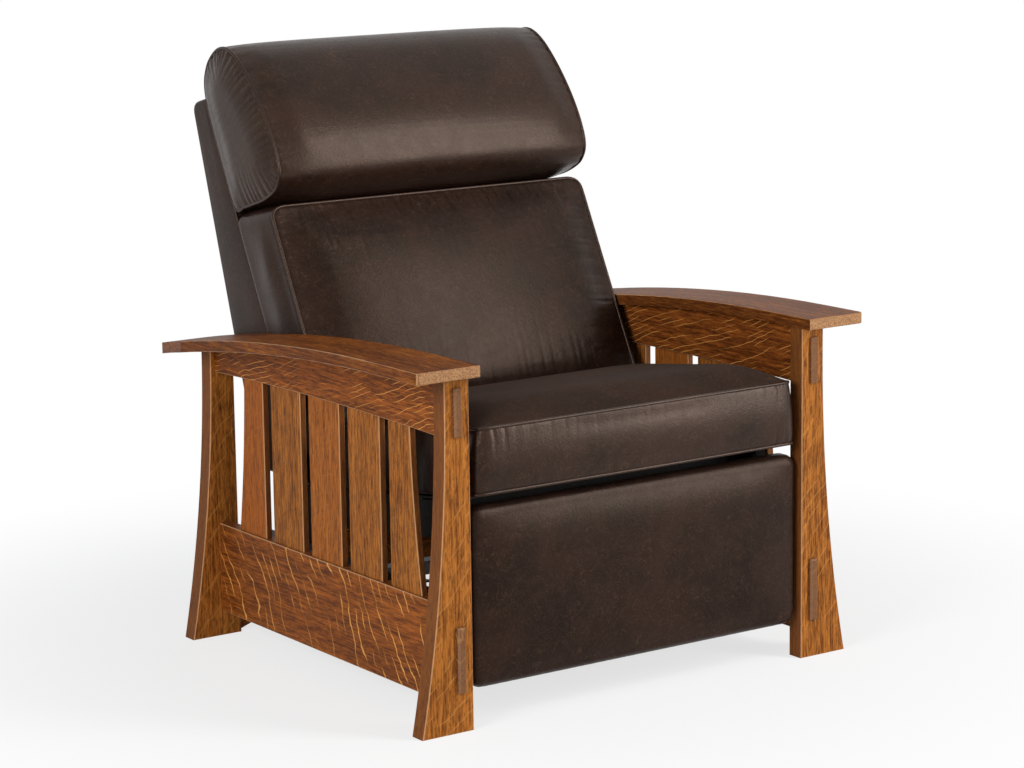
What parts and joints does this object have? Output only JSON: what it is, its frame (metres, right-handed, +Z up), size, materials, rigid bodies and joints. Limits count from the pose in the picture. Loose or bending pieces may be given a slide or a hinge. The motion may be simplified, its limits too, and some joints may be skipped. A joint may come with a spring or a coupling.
{
  "type": "reclining armchair",
  "caption": "Bow-arm, slat-sided oak reclining armchair with a boxed leather seat cushion, a leaning back with headrest and a fold-out padded footrest.",
  "frame": {"origin": "on the floor, under the middle of the chair's outline", "axes": "+Z up, -Y towards the front of the chair, +X to the right in a view from the front"},
  "size_m": [0.89, 0.908, 1.0377],
  "materials": {
    "oak": "oil-stained quarter-sawn oak, satin",
    "plywood": "plain plywood and softwood, unfinished",
    "blackwood": "softwood and plywood, stained black",
    "leather": "dark brown pull-up leather, low sheen",
    "foam": "upholstery foam",
    "webbing": "woven webbing",
    "steel": "black painted steel",
    "zinc": "zinc-plated steel",
    "nylon": "white nylon"
  },
  "bodies": {
    "frame": {"front_post_left": "oak", "front_post_right": "oak", "rear_post_left": "oak", "rear_post_right": "oak", "lower_rail_left": "oak", "lower_rail_right": "oak", "upper_rail_left": "oak", "upper_rail_right": "oak", "straight_slats_left": "oak", "straight_slats_right": "oak", "end_slats_left": "oak", "end_slats_right": "oak", "arm_left": "oak", "arm_right": "oak", "arm_dowels": "plywood", "rear_stretcher": "oak", "mounting_cleats": "blackwood", "cleat_screws": "zinc", "track_left": "steel", "track_right": "steel", "track_screws": "zinc", "front_cross_tube": "steel", "rear_cross_tube": "steel"},
    "seat": {"carriage_plate_left": "steel", "carriage_plate_right": "steel", "slide_shoes": "nylon", "carriage_bolts": "zinc", "back_pivot_rod": "steel", "seat_side_rail_left": "blackwood", "seat_side_rail_right": "blackwood", "seat_front_rail": "blackwood", "seat_rear_rail": "blackwood", "seat_webbing": "webbing", "seat_deck": "blackwood", "seat_cushion_core": "foam", "seat_cushion": "leather"},
    "back": {"back_side_panel_left": "leather", "back_side_panel_right": "leather", "outside_back": "leather", "back_uprights": "plywood", "back_rails": "plywood", "back_webbing": "webbing", "hinge_plates": "steel", "back_cushion_core": "foam", "back_cushion": "leather", "headrest_core": "foam", "headrest": "leather"},
    "long_link_pair": {"long_links": "steel", "long_link_pins": "zinc", "torque_tube": "steel"},
    "crossing_link_pair": {"crossing_links": "steel", "crossing_link_pins": "zinc"},
    "short_link_pair": {"short_links": "steel"},
    "footrest": {"footrest_bracket_left": "steel", "footrest_bracket_right": "steel", "bracket_pins": "zinc", "bracket_screws": "zinc", "footrest_board": "blackwood", "footrest_core": "foam", "footrest_pad": "leather"}
  },
  "joints": [
    {"name": "seat_glide", "type": "slide", "parent": "frame", "child": "seat", "axis": [0, -0.9903, 0.1392], "range_m": [0, 0.07]},
    {"name": "back_recline", "type": "hinge", "parent": "seat", "child": "back", "pos_m": [0, 0.175, 0.27], "axis": [-1, 0, 0], "range_deg": [0, 30]},
    {"name": "footrest_open", "type": "hinge", "parent": "seat", "child": "long_link_pair", "pos_m": [0, -0.33038, 0.325], "axis": [-1, 0, 0], "range_deg": [0, 81]},
    {"name": "crossing_link_turn", "type": "hinge", "parent": "long_link_pair", "child": "crossing_link_pair", "pos_m": [0, -0.34019, 0.20039], "axis": [-1, 0, 0], "range_deg": [-162.5, 0]},
    {"name": "short_link_turn", "type": "hinge", "parent": "long_link_pair", "child": "short_link_pair", "pos_m": [0, -0.35, 0.07577], "axis": [-1, 0, 0], "range_deg": [-162.5, 0]},
    {"name": "footboard_turn", "type": "hinge", "parent": "crossing_link_pair", "child": "footrest", "pos_m": [0, -0.35, 0.325], "axis": [-1, 0, 0], "range_deg": [0, 162.5]}
  ],
  "couplings": [
    {"joint": "back_recline", "follows": "seat_glide", "rad_per_m": 7.45},
    {"joint": "crossing_link_turn", "follows": "footrest_open", "ratio": -2},
    {"joint": "short_link_turn", "follows": "footrest_open", "ratio": -2},
    {"joint": "footboard_turn", "follows": "footrest_open", "ratio": 2}
  ]
}
